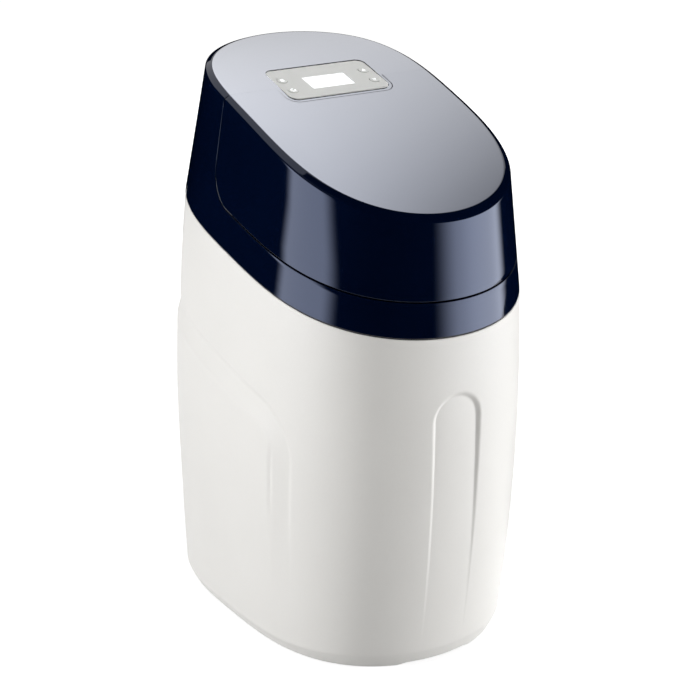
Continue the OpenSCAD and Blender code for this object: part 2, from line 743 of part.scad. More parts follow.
// Brine well in the salt compartment with its safety valve and float
well_t = 2.5;
module at_well() {
    translate([-well_x, -well_y, 0]) children();
}
module brine_well() {
    slots = 8;
    color("white") at_well() difference() {
        translate([0, 0, floor_t]) cylinder(r = well_r, h = well_h - floor_t);
        translate([0, 0, floor_t - 1]) cylinder(r = well_r - well_t, h = well_h);
        for (k = [0 : slots - 1]) rotate(360 * (k + 0.5) / slots) translate([well_r / 2, -2, floor_t + 6])
            cube([well_r, 4, 30]);
    }
}
module well_cap() {
    skirt = 6;
    color("white") at_well() difference() {
        union() {
            translate([0, 0, well_h]) cylinder(r = well_r + 2, h = 3);
            translate([0, 0, well_h - skirt]) cylinder(r = well_r - well_t - slip_gap, h = skirt + 1);
        }
        translate([0, 0, well_h - skirt - 1]) cylinder(r = well_r - well_t - 2.5, h = skirt + 1);
        translate([line_set, 0, well_h - 20]) cylinder(r = line_r + slip_gap, h = 40);
    }
}
module safety_valve() {
    arm_h = 14;
    color("whitesmoke") at_well() difference() {
        union() {
            translate([0, 0, floor_t]) cylinder(r = 9, h = valve_seat_z - floor_t);
            translate([0, 0, valve_seat_z - 40]) cylinder(r = 14, h = 40);
            translate([0, -6, valve_seat_z - arm_h]) cube([line_set, 12, arm_h]);
            translate([line_set, 0, valve_seat_z - arm_h]) cylinder(r = 6, h = arm_h);
        }
        translate([0, 0, valve_seat_z - 30]) cylinder(r = rod_r + run_gap, h = 60);
        translate([line_set, 0, valve_seat_z - 8]) cylinder(r = line_r - 1.5, h = 20);
    }
}
rod_low = valve_seat_z - 28;
float_low = valve_seat_z + 60;
float_h = 56;
rod_len = float_low + float_h + 30 - rod_low;
module float_rod() {
    color("silver") at_well() {
        translate([0, 0, rod_low]) cylinder(r = rod_r, h = rod_len);
        translate([0, 0, valve_seat_z + slip_gap]) cylinder(r = rod_r + 3, h = 4);
        translate([0, 0, float_low - 4]) cylinder(r = rod_r + 3, h = 4);
    }
}
module float() {
    dish = 6;
    color("orangered") at_well() translate([0, 0, float_low]) rotate_extrude() difference() {
        union() {
            translate([0, dish]) square([float_r, float_h - 2 * dish]);
            square([float_r - dish, float_h]);
            for (z = [dish, float_h - dish]) translate([float_r - dish, z]) circle(dish);
        }
        square([rod_r + run_gap, far]);
    }
}
module brine_line() {
    rise = line_run_z - line_bend;
    color("white") translate([line_x, 0, 0]) {
        translate([0, -well_y, valve_seat_z]) tube(line_r, rise - valve_seat_z);
        translate([0, line_bend - well_y, rise]) rotate([90, 0, 90]) rotate([0, 0, 90]) rotate_extrude(angle = 90)
            translate([line_bend, 0]) difference() {
                circle(line_r);
                circle(line_r - 1.5);
            }
        translate([0, line_bend - well_y, line_run_z]) rotate([-90, 0, 0]) tube(line_r, tank_y - 20 - line_bend + well_y);
    }
}

// Overflow hose tail through the back wall, and the slotted grid that carries the salt
overflow_len = 24;
function wall_y(x, z) =
    let (off = swell(back_tuck, back_belly, 1 - z / back_rim))
    (back_reach + off) * pow(1 - pow(x / (half_w + off), 2), 1 / end_flat);
module overflow_tail() {
    flange_r = overflow_r + 4;
    outside = wall_y(overflow_x - flange_r, overflow_z);
    color("white") translate([overflow_x, 0, overflow_z]) difference() {
        union() {
            along_y(overflow_r, outside - 26, outside + overflow_len);
            along_y(flange_r, outside + slip_gap, outside + 4);
        }
        along_y(overflow_r - 2.5, 0, far);
    }
}
grid_edge = 3;
module grid_outline() {
    polygon([for (s = spots) pocketed(plan(s, foot_off(s, grid_h) - wall - grid_edge))]);
}
module salt_grid() {
    slot_w = 5;
    slot_len = 32;
    pitch_x = 15;
    pitch_y = 42;
    rows = 3;
    legs = [-36, -140];
    grid_back = tank_y - tank_r - 6;
    color("white") difference() {
        union() {
            translate([0, 0, grid_h]) linear_extrude(grid_t) intersection() {
                grid_outline();
                translate([-far, grid_back - far]) square([2 * far, far]);
            }
            for (sx = [-1, 1], y = legs) translate([sx * 40, y, floor_t]) cylinder(r = 7, h = grid_h - floor_t + 1);
        }
        at_well() translate([0, 0, grid_h - 1]) cylinder(r = well_r + slip_gap, h = grid_t + 2);
        for (row = [0 : rows - 1], k = [-4 : 4])
            translate([k * pitch_x - slot_w / 2, -68 - row * pitch_y - slot_len / 2, grid_h + 1.01])
            cube([slot_w, slot_len, grid_t]);
        for (row = [0 : rows - 1], k = [-4 : 4])
            translate([k * pitch_x - slot_w / 2, -68 - row * pitch_y - slot_len / 2, grid_h - 1])
            cube([slot_w, slot_len, grid_t]);
    }
}

cabinet();
rear_cover();
hinge_brackets();
hinge_pins();
salt_lid();
lid_arms();
control_panel();
display_window();
menu_key();
regen_key();
up_key();
down_key();
circuit_board();
resin_tank();
tank_boot();
riser_tube();
upper_strainer();
lower_strainer();
resin_bed();
valve_body();
port_plate();
inlet_connector();
outlet_connector();
drain_tail();
power_socket();
drive_motor();
motor_pinion();
drive_gear();
brine_well();
well_cap();
safety_valve();
float_rod();
float();
brine_line();
overflow_tail();
salt_grid();
plate_screws();
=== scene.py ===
import math

import bmesh
import bpy
import numpy as np
from mathutils import Matrix


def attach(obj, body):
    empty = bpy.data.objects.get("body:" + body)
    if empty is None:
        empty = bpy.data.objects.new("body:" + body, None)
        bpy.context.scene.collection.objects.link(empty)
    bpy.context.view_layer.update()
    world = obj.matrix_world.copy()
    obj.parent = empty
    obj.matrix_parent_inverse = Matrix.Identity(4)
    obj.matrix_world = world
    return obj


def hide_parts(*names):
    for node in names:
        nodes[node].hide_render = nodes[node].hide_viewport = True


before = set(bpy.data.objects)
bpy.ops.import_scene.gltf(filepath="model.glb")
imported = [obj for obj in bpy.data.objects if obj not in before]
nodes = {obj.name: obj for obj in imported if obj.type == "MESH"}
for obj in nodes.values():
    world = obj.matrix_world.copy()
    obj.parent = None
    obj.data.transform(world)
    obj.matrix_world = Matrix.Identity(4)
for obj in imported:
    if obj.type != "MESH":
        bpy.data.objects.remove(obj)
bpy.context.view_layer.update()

# Ivory cabinet
# One moulded shell of satin polypropylene, which is also the brine tank. Its oval rim slopes up to the back,
# the walls swell at mid height, the lower sides stand out and an arched recess is pressed into the front.
HALF_W = 135.0
FRONT_REACH = 188.0
BACK_REACH = 179.0
END_FLAT = 3.1
RIM_H = 381.0
RIM_SLOPE = 0.23
WALL = 3.5
FLOOR_T = 8.0
SIDE_TUCK, SIDE_BELLY = 4.0, 5.8
FRONT_TUCK, FRONT_BELLY = 5.0, 9.2
BACK_TUCK, BACK_BELLY = 8.0, 13.0
FOOT_H = 17.0
FOOT_SIDE_H = 13.0
FOOT_IN = 7.5
TOE_H = 2.5
TOE_W = 45.0
TOE_RAMP = 10.0
RAISED = 2.5
RAISED_DIP = 0.9
RAISED_DROP = 108.5
RAISED_FRONT = -103.0
RAISED_R = 41.0
RAISED_RAMP = 21.0
RAISED_FADE = 160.0
GROOVE = 1.2
GROOVE_W = 2.2
RECESS_TOP = 279.0
RECESS_FOOT = 72.0
RECESS_R = 23.2
RECESS_FALL = 0.0202
RECESS_LEAN = 0.005


def oval(angle):
    """Rim outline and the direction that it faces.

    Across is half the width times the cosine. Along is the reach times the sine to the power 2 over END_FLAT,
    which flattens both ends. The direction is the slope of that oval's equation, brought to length one.
    """
    s = np.sin(angle)
    reach = np.where(s < 0, FRONT_REACH, BACK_REACH)
    x = HALF_W * np.cos(angle)
    y = np.sign(s) * reach * np.abs(s) ** (2 / END_FLAT)
    face_x = 2 * x / HALF_W**2
    face_y = END_FLAT * np.sign(y) * (np.abs(y) / reach) ** (END_FLAT - 1) / reach
    size = np.hypot(face_x, face_y)
    return x, y, face_x / size, face_y / size


def stations(spacing):
    """Angles round the oval from the middle of the front, a wanted distance apart.

    A fine walk round the outline adds up each step divided by the distance wanted there, and equal shares of
    the sum are the stations.
    """
    walk = np.radians(np.linspace(-90, 270, 60001))
    x, y, _, _ = oval(walk)
    wanted = spacing((x[1:] + x[:-1]) / 2, (y[1:] + y[:-1]) / 2)
    total = np.concatenate([[0], np.cumsum(np.hypot(np.diff(x), np.diff(y)) / wanted)])
    count = 2 * round(total[-1] / 2)
    return np.interp(np.arange(count) * total[-1] / count, total, walk)


def soft_max(a, b, reach):
    """The larger of two heights, with the crossing rounded off over the given reach."""
    return np.maximum(a, b) + np.maximum(reach - np.abs(a - b), 0) ** 2 / (4 * reach)


def smooth(t):
    """Soft step from 0 to 1: three t squared less two t cubed."""
    t = np.clip(t, 0, 1)
    return t * t * (3 - 2 * t)


def swell(tuck, belly, t):
    """Bulge of a wall: four times the belly at mid height, less a tuck that grows towards the floor."""
    return 4 * belly * t * (1 - t) - tuck * t


def wall_offset(face_y, rim, z):
    """How far the wall stands outside the rim outline, blended from the sides to the ends."""
    t = (rim - z) / rim
    side = swell(SIDE_TUCK, SIDE_BELLY, t)
    ends = np.where(face_y < 0, swell(FRONT_TUCK, FRONT_BELLY, t), swell(BACK_TUCK, BACK_BELLY, t))
    return side + (ends - side) * face_y**2


def foot_inset(face_y, z):
    """Chamfer round the foot, lower at the sides than at the ends, which starts with a small round."""
    high = FOOT_SIDE_H + (FOOT_H - FOOT_SIDE_H) * face_y**2
    return (FOOT_IN - face_y**2) / high * soft_max(high - z, 0.0, 2.0)


def raised_side(rim, y, z):
    """Raised lower side with a rounded corner, which fades out towards the foot.

    The wall first dips a little, then rises along a ramp that steepens: 0.35 of its share of the way plus
    0.65 of that share squared. A shallow bell-shaped groove runs along the head of the upright ramp.
    """
    down = rim - RAISED_DROP - z
    back = y - RAISED_FRONT
    corner = RAISED_R - np.hypot(RAISED_R - back, RAISED_R - down)
    inside = np.where((back < RAISED_R) & (down < RAISED_R), corner, np.minimum(back, down))
    way = np.clip(inside / RAISED_RAMP, 0, 1)
    rise = (RAISED + RAISED_DIP) * (0.35 * way + 0.65 * way**2) - RAISED_DIP * smooth(1 + inside / 5)
    upright = smooth((down - back - 8) / 20) * (1 - smooth((down - 70) / 90))
    groove = GROOVE * upright * np.exp(-(((inside - RAISED_RAMP) / GROOVE_W) ** 2))
    return (rise - groove) * (1 - smooth((down - 60.0) / RAISED_FADE))


def pressed_recess(x, y, z):
    """Front wall with the arched recess pressed in.

    The floor follows the wall at a depth that falls evenly to nothing near the foot. Outside the arch, which
    widens a little downwards, it rises at 45 degrees, with a rounded edge where it meets the wall.
    """
    above = np.maximum(z - (RECESS_TOP - RECESS_R), 0)
    outside = np.hypot(x, above) - RECESS_R - RECESS_LEAN * np.maximum(RECESS_TOP - z, 0)
    depth = RECESS_FALL * (z - RECESS_FOOT) - soft_max(outside, 0.0, 0.8)
    return np.where(y < 0, y + soft_max(depth, 0.0, 1.4), y)


def toe(x, y):
    """Height of the shallow toe notch below the front, with sloping ends."""
    return np.where(y < -FRONT_REACH / 2, TOE_H * np.clip((TOE_W - np.abs(x)) / TOE_RAMP, 0, 1), 0)


def ring_faces(rows, count):
    """Four-sided faces of a grid whose rows close round."""
    low = np.arange(rows - 1)[:, None] * count
    here = np.arange(count)[None]
    after = (here + 1) % count
    return np.stack([low + here, low + after, low + count + after, low + count + here], -1).reshape(-1, 4)


def piece(name, points, faces):
    """New object from points in millimetres and faces, smooth all over."""
    mesh = bpy.data.meshes.new(name)
    mesh.from_pydata((np.asarray(points) * 0.001).tolist(), [], [list(f) for f in faces])
    mesh.polygons.foreach_set("use_smooth", np.ones(len(mesh.polygons), bool))
    thing = bpy.data.objects.new(name, mesh)
    bpy.context.scene.collection.objects.link(thing)
    return thing


def put_on(thing, body, slot, material, *replaced):
    """Give a piece its finish and let it ride on a body in place of the solids it stands for."""
    thing.data.materials.clear()
    thing.data.materials.append(material)
    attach(thing, body)
    if replaced:
        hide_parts(*replaced)


def cabinet_shell():
    """Closed shell: rings from the middle of the base, up the wall, over the rim and down to the floor."""

    def spacing(x, y):
        """0.9 mm at the recess and the raised side's upright edge, 4.5 mm between them, 5 mm at the back."""
        front = np.clip((np.abs(x) - 38) / 20, 0, 1)
        relief = np.clip((np.abs(y - RAISED_FRONT - RAISED_RAMP / 2) - 16) / 20, 0, 1)
        return np.where(y < 0, 0.9 + 3.6 * np.minimum(front, relief), 5.0)

    px, py, nx, ny = (v[None] for v in oval(stations(spacing)))
    rim = RIM_H + RIM_SLOPE * py
    base = toe(px, py)

    # Heights: fine rows down through the raised side's edge, coarser rows below it, then the foot
    fine_end = 142
    down = np.concatenate([np.arange(2.0, 22, 4), np.arange(22, fine_end, 1.2)])[:, None]
    share = np.linspace(0, 1, 40)[1:, None]
    foot = np.concatenate([np.linspace(2, 14, 9), [15.2, 16.2, 16.8, 17.0]])[:, None]
    middle = (rim - fine_end) * (1 - share) + 20 * share
    bottom = 19 - foot + (base - 2) * smooth(foot / FOOT_H)
    z = np.concatenate([rim - down, middle, bottom])[::-1]
    off = wall_offset(ny, rim, np.maximum(z, FOOT_H))
    off = off + raised_side(rim, py + off * ny, z) * (z > FOOT_H - 8)
    round_in = np.interp(z - base, [0, 0.3, 0.9, 1.9, 3.0], [1.6, 0.9, 0.35, 0.05, 0])
    off = off - foot_inset(ny, z) - round_in
    x = px + off * nx
    y = pressed_recess(x, py + off * ny, z)
    outer = np.stack([x, y, z], -1)

    turn = np.radians(np.linspace(0, 90, 5))[:, None]
    lip = np.concatenate([-1 + np.cos(turn), 1 - WALL - np.sin(turn)])
    rise = np.concatenate([np.sin(turn) - 1, np.cos(turn) - 1])
    rim_roll = np.stack([px + lip * nx, py + lip * ny, rim + rise], -1)

    depth = np.linspace(0, 1, 26)[1:, None]
    z = rim - 1 + (FLOOR_T + 1 - rim) * depth
    off = wall_offset(ny, rim, np.maximum(z, FOOT_H)) - foot_inset(ny, z) - WALL
    x, y = px + off * nx, py + off * ny
    near = np.where(y < 0, smooth(1 - (np.abs(x) - RECESS_R - WALL) / 30), 0)
    y = y + near * RECESS_FALL * np.clip(z - RECESS_FOOT, 0, RECESS_TOP - RECESS_FOOT)
    inner = np.stack([x, y, z], -1)

    def spread(ring, shares, height):
        """Rings inside a ring, each a share of its size, at a height worked out from the place."""
        plan = ring[None, :, :2] * np.array(shares)[:, None, None]
        return np.concatenate([plan, height(plan[..., 0], plan[..., 1])[..., None]], -1)

    under = spread(outer[0], [0.03, 0.3, 0.6, 0.9, 0.985], toe)
    over = spread(inner[-1], [0.985, 0.9, 0.6, 0.3, 0.03], lambda x, y: np.full_like(x, FLOOR_T))
    grid = np.concatenate([under, outer, rim_roll, inner, over])
    rows, count = grid.shape[:2]
    last = (rows - 1) * count
    faces = ring_faces(rows, count).tolist()
    faces += [list(range(count))[::-1], list(range(last, last + count))]
    return piece("cabinet_shell", grid.reshape(-1, 3), faces)


class Shade:
    """One output of a material's nodes. Sums, differences and products of shades add their Math nodes."""

    def __init__(self, tree, socket):
        self.tree = tree
        self.socket = socket

    def node(self, kind, settings, sockets, out=0):
        """One output of a new node: its settings are set first, then its sockets' values or links."""
        made = self.tree.nodes.new(kind)
        for name, value in settings.items():
            setattr(made, name, value)
        for name, value in sockets.items():
            if isinstance(value, Shade):
                self.tree.links.new(value.socket, made.inputs[name])
            else:
                made.inputs[name].default_value = value
        return Shade(self.tree, made.outputs[out])

    def maths(self, operation, first, second):
        """Result of a Math node on two values or shades."""
        return self.node("ShaderNodeMath", {"operation": operation}, {0: first, 1: second})

    def __add__(self, other):
        return self.maths("ADD", self, other)

    def __radd__(self, other):
        return self.maths("ADD", other, self)

    def __sub__(self, other):
        return self.maths("SUBTRACT", self, other)

    def __rsub__(self, other):
        return self.maths("SUBTRACT", other, self)

    def __mul__(self, other):
        return self.maths("MULTIPLY", self, other)

    def __rmul__(self, other):
        return self.maths("MULTIPLY", other, self)

    def __gt__(self, other):
        return self.maths("GREATER_THAN", self, other)

    def __lt__(self, other):
        return self.maths("LESS_THAN", self, other)

    def noise(self, scale, detail=2.0):
        """Cloudy pattern over these places, about 0 to 1."""
        return self.node("ShaderNodeTexNoise", {}, {"Vector": self, "Scale": scale, "Detail": detail})

    def stretched(self, x, y, z):
        """These places scaled along each axis, which draws a pattern out."""
        return self.node("ShaderNodeMapping", {}, {"Vector": self, "Scale": (x, y, z)})

    def between(self, dark, light):
        """Colour that goes from the first to the second as this shade goes from 0 to 1."""
        sockets = {"Factor": self, 6: (*dark, 1), 7: (*light, 1)}
        return self.node("ShaderNodeMix", {"data_type": "RGBA"}, sockets, 2)

    def bumps(self, strength, distance):
        """Surface direction with this shade as the height."""
        return self.node("ShaderNodeBump", {}, {"Height": self, "Strength": strength, "Distance": distance})

    def to(self, shader, socket):
        """Link this shade to a socket of a shader."""
        self.tree.links.new(self.socket, shader.inputs[socket])


def finish(name, **fixed):
    """New material with its shader's fixed values set, given with that shader and the object's places."""
    material = bpy.data.materials.new(name)
    material.use_nodes = True
    tree = material.node_tree
    shader = tree.nodes["Principled BSDF"]
    for socket, value in fixed.items():
        shader.inputs[socket.replace("_", " ")].default_value = value
    spots = tree.nodes.new("ShaderNodeTexCoord")
    return material, shader, Shade(tree, spots.outputs["Object"])


ivory_shell, shader, spot = finish("ivory_shell", IOR=1.49, Specular_IOR_Level=0.36)
cloud = spot.noise(11.0, 3.0)
fleck = spot.noise(420.0, 2.0)
(cloud * 0.7 + fleck * 0.3).between((0.80, 0.79, 0.765), (0.86, 0.85, 0.825)).to(shader, "Base Color")
(0.36 + 0.1 * cloud + 0.06 * fleck).to(shader, "Roughness")
(spot.noise(1400.0, 2.0) + 0.6 * spot.noise(300.0, 1.0)).bumps(0.06, 0.0004).to(shader, "Normal")
put_on(cabinet_shell(), "cabinet", "ivory_shell", ivory_shell, "cabinet")

# Salt grid and brine well
# The slotted white grid stands on legs and carries the salt. The well is a white tube through it, with a cap,
# the safety valve and its line, and an orange foam float with a steel rod, which shuts the valve.


def eased(node, width, body, slot, material, segments=2):
    """Copy of a solid that stands for it, with edges over 32 degrees rounded and large faces shaded flat."""
    bm = bmesh.new()
    bm.from_mesh(nodes[node].data)
    bmesh.ops.remove_doubles(bm, verts=bm.verts, dist=2e-6)
    bmesh.ops.dissolve_limit(bm, angle_limit=0.01, verts=bm.verts, edges=bm.edges)
    mesh = bpy.data.meshes.new(node + "_eased")
    bm.to_mesh(mesh)
    bm.free()
    mesh.polygons.foreach_set("use_smooth", np.ones(len(mesh.polygons), bool))
    thing = bpy.data.objects.new(node + "_eased", mesh)
    bpy.context.scene.collection.objects.link(thing)
    edge = thing.modifiers.new("edge", "BEVEL")
    edge.width = width
    edge.segments = segments
    edge.limit_method = "ANGLE"
    edge.angle_limit = math.radians(32)
    even = thing.modifiers.new("even", "WEIGHTED_NORMAL")
    even.keep_sharp = False
    put_on(thing, body, slot, material, node)


def moulded(name, dark, light, rough):
    """Plain moulded plastic: a slow drift of colour, uneven gloss and the fine grain of the mould."""
    material, shader, spot = finish(name, IOR=1.48)
    drift = spot.noise(25.0, 3.0)
    grain = spot.noise(900.0, 2.0)
    (0.6 * drift + 0.4 * grain).between(dark, light).to(shader, "Base Color")
    (rough + 0.12 * drift + 0.06 * grain).to(shader, "Roughness")
    grain.bumps(0.12, 0.0002).to(shader, "Normal")
    return material


white_plastic = moulded("white_plastic", (0.70, 0.70, 0.68), (0.80, 0.80, 0.78), 0.36)
for name, round_edge in (("salt_grid", 0.0007), ("brine_well", 0.0006), ("well_cap", 0.0006),
                         ("safety_valve", 0.0005), ("brine_line", 0.0003)):
    eased(name, round_edge, "cabinet", "white_plastic", white_plastic)

steel, shader, spot = finish("steel", Metallic=1.0)
brush = spot.stretched(900, 900, 25).noise(1.0, 3.0)
brush.between((0.50, 0.50, 0.52), (0.64, 0.64, 0.66)).to(shader, "Base Color")
(0.22 + 0.18 * brush).to(shader, "Roughness")
brush.bumps(0.08, 0.0002).to(shader, "Normal")
eased("float_rod", 0.0004, "float", "steel", steel)

float_orange, shader, spot = finish("float_orange", IOR=1.45)
cells = spot.node("ShaderNodeTexVoronoi", {}, {"Vector": spot, "Scale": 620.0})
foam = cells * 0.7 + spot.noise(40.0, 3.0) * 0.3
foam.between((0.62, 0.11, 0.02), (0.82, 0.20, 0.05)).to(shader, "Base Color")
(0.55 + 0.2 * cells).to(shader, "Roughness")
cells.bumps(0.25, 0.0004).to(shader, "Normal")
eased("float", 0.0008, "float", "float_orange", float_orange)

# Resin tank
# A pressure vessel of glass fibre wound over a liner, standing in a black rubber boot. A riser tube with a
# strainer at each end runs down its middle through a bed of amber resin beads.
TANK_Y = 0.086
STRANDS_ROUND = 24
STRANDS_UP = 420

dark_plastic = moulded("dark_plastic", (0.016, 0.016, 0.018), (0.032, 0.032, 0.035), 0.42)
eased("tank_boot", 0.0012, "cabinet", "dark_plastic", dark_plastic)

tank_blue, shader, spot = finish("tank_blue", IOR=1.52, Coat_Weight=0.25, Coat_Roughness=0.2)
across, along, high = (spot.node("ShaderNodeSeparateXYZ", {}, {0: spot}, k) for k in range(3))
around = spot.maths("ARCTAN2", along - TANK_Y, across)
left_wound = spot.maths("SINE", around * STRANDS_ROUND + high * STRANDS_UP, 0.0)
right_wound = spot.maths("SINE", around * STRANDS_ROUND - high * STRANDS_UP, 0.0)
strands = left_wound * right_wound
fibre = spot.stretched(500, 500, 40).noise(1.0, 3.0)
woven = 0.5 + 0.3 * strands + 0.4 * (fibre - 0.5)
woven.between((0.05, 0.12, 0.24), (0.13, 0.25, 0.42)).to(shader, "Base Color")
(0.3 + 0.15 * fibre).to(shader, "Roughness")
woven.bumps(0.3, 0.0006).to(shader, "Normal")
eased("resin_tank", 0.001, "cabinet", "tank_blue", tank_blue)

for name in ("riser_tube", "upper_strainer", "lower_strainer"):
    eased(name, 0.0004, "cabinet", "white_plastic", white_plastic)

resin_amber, shader, spot = finish("resin_amber", IOR=1.45)
beads = spot.node("ShaderNodeTexVoronoi", {}, {"Vector": spot, "Scale": 900.0})
bed = beads * 0.8 + spot.noise(30.0) * 0.2
bed.between((0.62, 0.33, 0.08), (0.26, 0.11, 0.02)).to(shader, "Base Color")
(0.25 + 0.3 * beads).to(shader, "Roughness")
(1 - beads).bumps(0.5, 0.0006).to(shader, "Normal")
eased("resin_bed", 0.001, "cabinet", "resin_amber", resin_amber)

# Control valve and drive
# The black moulded valve screws onto the tank's neck. A geared motor hangs under its deck, and its brass
# pinion turns the white acetal drive gear on the valve's spindle.
brass, shader, spot = finish("brass", Metallic=1.0)
lathe = spot.stretched(30, 1600, 30).noise(1.0, 2.0)
stain = spot.noise(120.0, 3.0)
(0.6 * lathe + 0.4 * stain).between((0.56, 0.38, 0.15), (0.75, 0.56, 0.27)).to(shader, "Base Color")
(0.2 + 0.14 * lathe + 0.12 * stain).to(shader, "Roughness")
lathe.bumps(0.06, 0.0002).to(shader, "Normal")
eased("valve_body", 0.0008, "cabinet", "dark_plastic", dark_plastic)
eased("drive_motor", 0.0007, "cabinet", "steel", steel)
eased("motor_pinion", 0.0002, "pinion", "brass", brass)
eased("drive_gear", 0.0003, "gear", "white_plastic", white_plastic)

# Pipe connections at the back
# A black plate closes the opening in the cover and is held by four cross-head screws. It carries two brass
# pipe connectors with a hexagon and an outside thread, the barbed drain tail and the low-voltage socket.
PORT_X = 34.0
PORT_Y = 150.581
PORT_Z = 452.17
PORT_R = 13.2
THREAD_PITCH = 1.8
SCREW_X = 52.0
SCREW_Z = 15.0

eased("port_plate", 0.0007, "cabinet", "dark_plastic", dark_plastic)
eased("power_socket", 0.0004, "cabinet", "dark_plastic", dark_plastic)
eased("drain_tail", 0.0003, "cabinet", "white_plastic", white_plastic)
eased("overflow_tail", 0.0005, "cabinet", "white_plastic", white_plastic)


def threaded_end(name, middle):
    """Brass connector: rings along the pipe, out over a hexagon and the thread, and back through the bore.

    The hexagon's reach is its half width over the cosine of the angle from the nearest flat. The thread is a
    triangle wave of the run over the pitch less the turn, which fades at both ends.
    """
    turn = np.radians(np.arange(0, 360, 4))[None]
    flat = (PORT_R + 4) * math.cos(math.pi / 6)
    hexagon = flat / np.cos(np.mod(turn, math.pi / 3) - math.pi / 6)
    run = np.arange(9.4, 26.6, THREAD_PITCH / 6)[:, None]
    wave = 2 * np.abs(np.mod(run / THREAD_PITCH - turn / (2 * math.pi), 1) - 0.5)
    depth = np.minimum(1.05, 0.8 * np.minimum(run - 9.2, 26.8 - run))
    ring = np.ones_like(turn)
    bore = (PORT_R - 4) * ring
    root = (PORT_R - 1.1) * ring
    chamfer = np.minimum(hexagon, flat + 2.2)
    radius = np.concatenate([
        bore, np.minimum(hexagon, flat + 1.2), chamfer, hexagon, chamfer, np.minimum(hexagon, flat + 0.8),
        root, root, PORT_R - depth * wave, root, root - 0.8, bore + 0.7, bore])
    hexagon_run = [0, 0, 0.3, 1.0, 7.2, 8.0, 8.0, 9.2]
    mouth_run = [27.0, 28.0, 28.0, 27.3]
    y = PORT_Y + np.concatenate([hexagon_run, run[:, 0], mouth_run])[:, None]
    x = middle + radius * np.cos(turn)
    z = PORT_Z + radius * np.sin(turn)
    grid = np.stack(np.broadcast_arrays(x, y, z), -1)
    rows, count = grid.shape[:2]
    faces = ring_faces(rows + 1, count)[:, ::-1] % (rows * count)
    thing = piece(name + "_threaded", grid.reshape(-1, 3), faces.tolist())
    thing.data.set_sharp_from_angle(angle=math.radians(40))
    put_on(thing, "cabinet", "brass", brass, name)


def screw_heads():
    """Four pan heads: a shallow dome on a polar grid, a cross sunk into it, and a rim down to the plate."""
    turn = np.radians(np.arange(0, 360, 5))[None]
    reach = np.concatenate([np.linspace(0.05, 2.5, 26), [2.75, 2.92, 3.0, 3.0]])[:, None]
    x, z = reach * np.cos(turn), reach * np.sin(turn)
    arm = 0.42 - np.minimum(np.abs(x), np.abs(z))
    sunk = 1.1 * smooth(arm / 0.2 + 0.5) * smooth((1.9 - reach) / 0.3)
    dome = 2.4 - 0.1 * reach[:-3] ** 2 - sunk[:-3]
    edge = np.array([1.35, 1.0, 0.0])[:, None] + 0 * turn
    y = np.concatenate([dome, edge])
    count = turn.size
    last = (len(reach) - 1) * count
    shape = ring_faces(len(reach), count).tolist()
    shape += [list(range(count))[::-1], list(range(last, last + count))]
    points = []
    for sx, sz in ((-1, -1), (1, -1), (1, 1), (-1, 1)):
        head = np.stack([SCREW_X * sx + x, PORT_Y + y, PORT_Z + SCREW_Z * sz + z], -1)
        points.append(head.reshape(-1, 3))
    faces = [[v + k * x.size for v in f] for k in range(4) for f in shape]
    thing = piece("plate_screw_heads", np.concatenate(points), faces)
    thing.data.set_sharp_from_angle(angle=math.radians(50))
    put_on(thing, "cabinet", "steel", steel, "plate_screws")


threaded_end("inlet_connector", PORT_X)
threaded_end("outlet_connector", -PORT_X)
screw_heads()

# Hinge and circuit board
# Black brackets under the rear cover hold steel pins, on which the lid's bent arms swing. The green circuit
# board with its switches hangs below the control panel.
eased("hinge_brackets", 0.0006, "cabinet", "dark_plastic", dark_plastic)
eased("hinge_pins", 0.0004, "cabinet", "steel", steel)
eased("lid_arms", 0.0007, "lid", "dark_plastic", dark_plastic)

board_green, shader, spot = finish("board_green", IOR=1.55)
sockets = {"Vector": spot, "Scale": 130.0, "Distortion": 3.0}
lanes = spot.node("ShaderNodeTexWave", {"bands_direction": "X"}, sockets)
pads = spot.node("ShaderNodeTexVoronoi", {}, {"Vector": spot, "Scale": 260.0})
copper = (lanes > 0.82) * 0.6 + (0.16 > pads) * 0.9
copper.between((0.012, 0.10, 0.035), (0.10, 0.34, 0.14)).to(shader, "Base Color")
(0.28 + 0.2 * spot.noise(80.0)).to(shader, "Roughness")
copper.bumps(0.2, 0.0002).to(shader, "Normal")
eased("circuit_board", 0.0004, "cabinet", "board_green", board_green)

# Navy cover
# Two mouldings of high-gloss navy plastic with one continuous outside: drafted walls, a bevel and a curved
# sloping top. The rear cover clips into the cabinet rim, and the salt lid closes flush against it.
TOP_MID = 512.0
TOP_SLOPE = 0.3
TOP_ARCH = 1320.0
COVER_T = 3.0
COVER_FOOT = 1.7
COVER_LEAN = 0.13
BACK_LEAN = 0.07
BEVEL_W = 6.0
BEVEL_DROP = 3.2
SEAM_Y = 40.0
SEAM_LOW = RIM_H + 36.5
SEAM_SLOPE = 0.247
SEAM_R = 38.0
SEAM_GAP = 0.9
TOP_GAP = 0.05
SEAM_TURN = 0.4
TURN_W = 0.63
SCORE_REACH = 26.0
TONGUE_RIM = 4.0
TONGUE_REACH = 300.0
TONGUE_GAP = 0.5
LID_DIP = 0.014
PANEL_Y = 44.8
PANEL_TILT = math.atan(TOP_SLOPE - PANEL_Y / TOP_ARCH) - math.radians(1.5)
PANEL_W = 113.0
PANEL_D = 58.0
PANEL_R = 9.0
PANEL_SHIFT = 0.65


def top_z(y):
    """Height of the top: a slope with a shallow arch from front to back, y squared over twice its radius."""
    return TOP_MID + TOP_SLOPE * y - y * y / (2 * TOP_ARCH)


